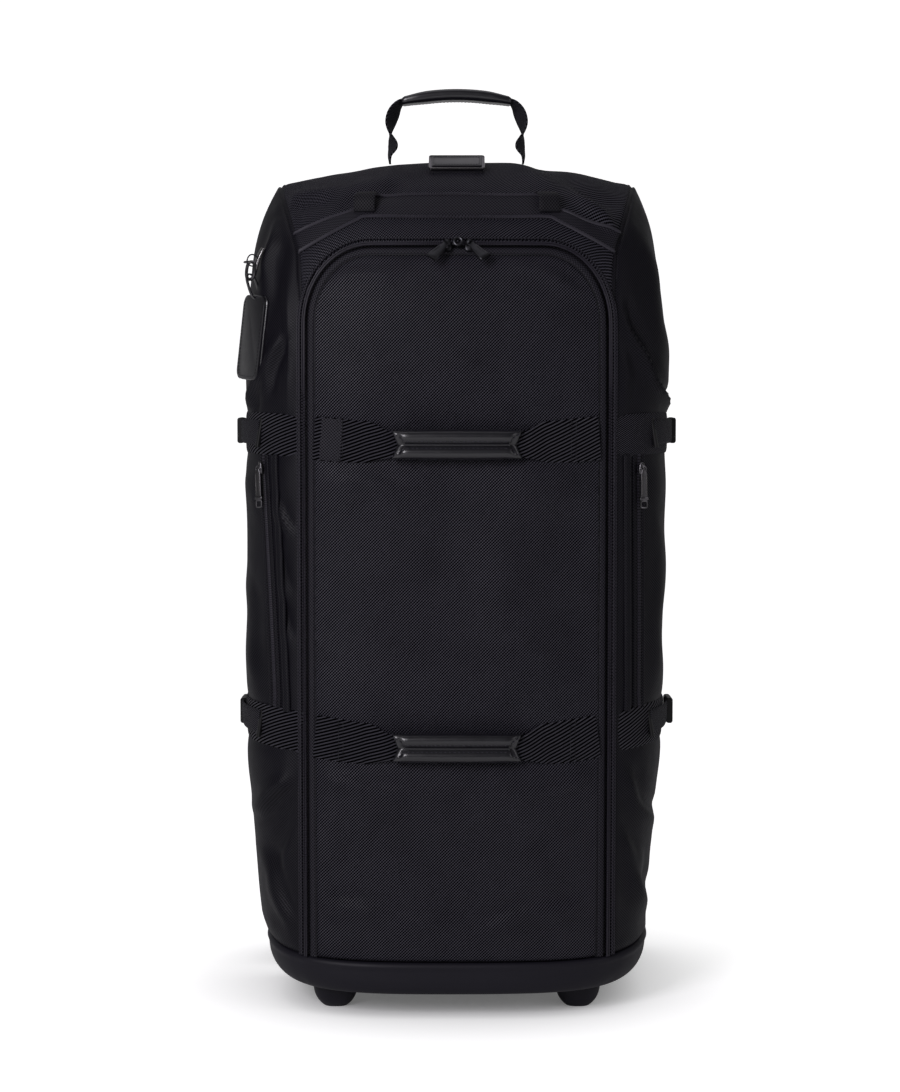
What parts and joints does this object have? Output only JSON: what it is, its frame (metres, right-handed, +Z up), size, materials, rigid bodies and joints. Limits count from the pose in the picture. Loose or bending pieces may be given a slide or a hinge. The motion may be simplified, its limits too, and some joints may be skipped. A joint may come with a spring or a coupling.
{
  "type": "rolling duffel bag",
  "caption": "Large upright wheeled duffel bag with an arched zipped front door, webbing straps with grips, corner wheels and a telescoping pull handle.",
  "frame": {"origin": "centre of the footprint on the floor, midway across the width and the depth", "axes": "+X to the viewer's right, -Y out of the front door, +Z up"},
  "size_m": [0.445, 0.3592, 0.9187],
  "materials": {
    "ballistic_fabric": "matt diagonal-patterned weave",
    "side_fabric": "matt plain weave",
    "webbing": "ribbed webbing",
    "leather": "smooth semi-gloss grain",
    "boot_plastic": "fine moulded texture",
    "black_plastic": "satin",
    "gunmetal": "dark plated",
    "tube_alloy": "satin anodised",
    "axle_steel": "plain",
    "wheel_rubber": "matt"
  },
  "bodies": {
    "bag": {"back_panel": "side_fabric", "left_side_panel": "side_fabric", "right_side_panel": "side_fabric", "top_panel": "ballistic_fabric", "bottom_boot": "boot_plastic", "left_front_foot": "black_plastic", "right_front_foot": "black_plastic", "left_wheel_housing": "black_plastic", "right_wheel_housing": "black_plastic", "kick_plate": "black_plastic", "left_axle": "axle_steel", "right_axle": "axle_steel", "left_outer_tube": "tube_alloy", "right_outer_tube": "tube_alloy", "handle_bezel": "black_plastic", "handle_foot": "black_plastic", "yoke_webbing": "webbing", "badge_plate": "gunmetal", "left_handle_tab": "webbing", "right_handle_tab": "webbing", "tag_staple": "gunmetal", "upper_left_side_strap": "webbing", "upper_right_side_strap": "webbing", "lower_left_side_strap": "webbing", "lower_right_side_strap": "webbing", "upper_left_buckle_socket": "black_plastic", "upper_right_buckle_socket": "black_plastic", "lower_left_buckle_socket": "black_plastic", "lower_right_buckle_socket": "black_plastic"},
    "door": {"front_door": "ballistic_fabric", "upper_door_strap": "webbing", "lower_door_strap": "webbing"},
    "upper_grip": {"upper_grip": "leather"},
    "lower_grip": {"lower_grip": "leather"},
    "left_main_slider": {"left_main_slider": "black_plastic"},
    "right_main_slider": {"right_main_slider": "black_plastic"},
    "left_main_pull": {"left_main_pull": "black_plastic"},
    "right_main_pull": {"right_main_pull": "black_plastic"},
    "left_pocket_slider": {"left_pocket_slider": "gunmetal"},
    "right_pocket_slider": {"right_pocket_slider": "gunmetal"},
    "left_pocket_pull": {"left_pocket_pull": "gunmetal"},
    "right_pocket_pull": {"right_pocket_pull": "gunmetal"},
    "top_handle": {"top_handle_webbing": "webbing", "top_handle_grip": "leather"},
    "telescope_mid": {"left_mid_tube": "tube_alloy", "right_mid_tube": "tube_alloy"},
    "telescope_inner": {"left_inner_tube": "tube_alloy", "right_inner_tube": "tube_alloy", "pull_grip": "black_plastic"},
    "release_button": {"release_button": "black_plastic"},
    "left_wheel": {"left_tyre": "wheel_rubber", "left_hub": "black_plastic"},
    "right_wheel": {"right_tyre": "wheel_rubber", "right_hub": "black_plastic"},
    "luggage_tag": {"luggage_tag": "leather", "tag_loop": "leather"},
    "upper_left_plug": {"upper_left_buckle_plug": "black_plastic"},
    "upper_right_plug": {"upper_right_buckle_plug": "black_plastic"},
    "lower_left_plug": {"lower_left_buckle_plug": "black_plastic"},
    "lower_right_plug": {"lower_right_buckle_plug": "black_plastic"}
  },
  "joints": [
    {"name": "left_wheel_spin", "type": "hinge", "parent": "bag", "child": "left_wheel", "pos_m": [-0.151, 0.13965, 0.04], "axis": [1, 0, 0], "continuous": true},
    {"name": "right_wheel_spin", "type": "hinge", "parent": "bag", "child": "right_wheel", "pos_m": [0.151, 0.13965, 0.04], "axis": [1, 0, 0], "continuous": true},
    {"name": "telescope_mid_slide", "type": "slide", "parent": "bag", "child": "telescope_mid", "axis": [0, 0, 1], "range_m": [0, 0.4]},
    {"name": "telescope_inner_slide", "type": "slide", "parent": "telescope_mid", "child": "telescope_inner", "axis": [0, 0, 1], "range_m": [0, 0.38]},
    {"name": "release_button_press", "type": "slide", "parent": "telescope_inner", "child": "release_button", "axis": [0, 0, -1], "range_m": [0, 0.0035], "stiffness_N_per_m": 400, "springref_m": -0.002},
    {"name": "door_hinge", "type": "hinge", "parent": "bag", "child": "door", "pos_m": [0, -0.162, 0.057], "axis": [1, 0, 0], "range_deg": [0, 92]},
    {"name": "upper_grip_pull", "type": "slide", "parent": "door", "child": "upper_grip", "axis": [0, -1, 0], "range_m": [0, 0.025]},
    {"name": "lower_grip_pull", "type": "slide", "parent": "door", "child": "lower_grip", "axis": [0, -1, 0], "range_m": [0, 0.025]},
    {"name": "left_main_slider_run", "type": "slide", "parent": "door", "child": "left_main_slider", "axis": [-1, 0, 0], "range_m": [0, 0.06]},
    {"name": "right_main_slider_run", "type": "slide", "parent": "door", "child": "right_main_slider", "axis": [1, 0, 0], "range_m": [0, 0.06]},
    {"name": "left_main_pull_lift", "type": "hinge", "parent": "left_main_slider", "child": "left_main_pull", "pos_m": [-0.0095, -0.14901, 0.756], "axis": [-0.79, 0.3932, 0.4705], "range_deg": [0, 140]},
    {"name": "left_pocket_slider_run", "type": "slide", "parent": "bag", "child": "left_pocket_slider", "axis": [0.0525, -0.0567, -0.997], "range_m": [0, 0.18]},
    {"name": "left_pocket_pull_lift", "type": "hinge", "parent": "left_pocket_slider", "child": "left_pocket_pull", "pos_m": [-0.19633, -0.1158, 0.538], "axis": [-0.4528, 0.8885, -0.0744], "range_deg": [0, 140]},
    {"name": "right_main_pull_lift", "type": "hinge", "parent": "right_main_slider", "child": "right_main_pull", "pos_m": [0.012, -0.14899, 0.756], "axis": [-0.79, -0.3933, -0.4704], "range_deg": [0, 140]},
    {"name": "right_pocket_slider_run", "type": "slide", "parent": "bag", "child": "right_pocket_slider", "axis": [0.0088, 0.0117, -0.9999], "range_m": [0, 0.18]},
    {"name": "right_pocket_pull_lift", "type": "hinge", "parent": "right_pocket_slider", "child": "right_pocket_pull", "pos_m": [0.18322, -0.13106, 0.538], "axis": [-0.6777, -0.7352, -0.0145], "range_deg": [0, 140]},
    {"name": "top_handle_swing", "type": "hinge", "parent": "bag", "child": "top_handle", "pos_m": [0, 0.008, 0.8562], "axis": [1, 0, 0], "range_deg": [-65, 65]},
    {"name": "luggage_tag_swing", "type": "hinge", "parent": "bag", "child": "luggage_tag", "pos_m": [-0.20539, -0.09433, 0.74], "axis": [-0.5144, 0.8576, 0], "range_deg": [0, 70]},
    {"name": "upper_left_buckle_release", "type": "slide", "parent": "bag", "child": "upper_left_plug", "axis": [0, 1, 0], "range_m": [0, 0.03]},
    {"name": "upper_right_buckle_release", "type": "slide", "parent": "bag", "child": "upper_right_plug", "axis": [0, 1, 0], "range_m": [0, 0.03]},
    {"name": "lower_left_buckle_release", "type": "slide", "parent": "bag", "child": "lower_left_plug", "axis": [0, 1, 0], "range_m": [0, 0.03]},
    {"name": "lower_right_buckle_release", "type": "slide", "parent": "bag", "child": "lower_right_plug", "axis": [0, 1, 0], "range_m": [0, 0.03]}
  ]
}
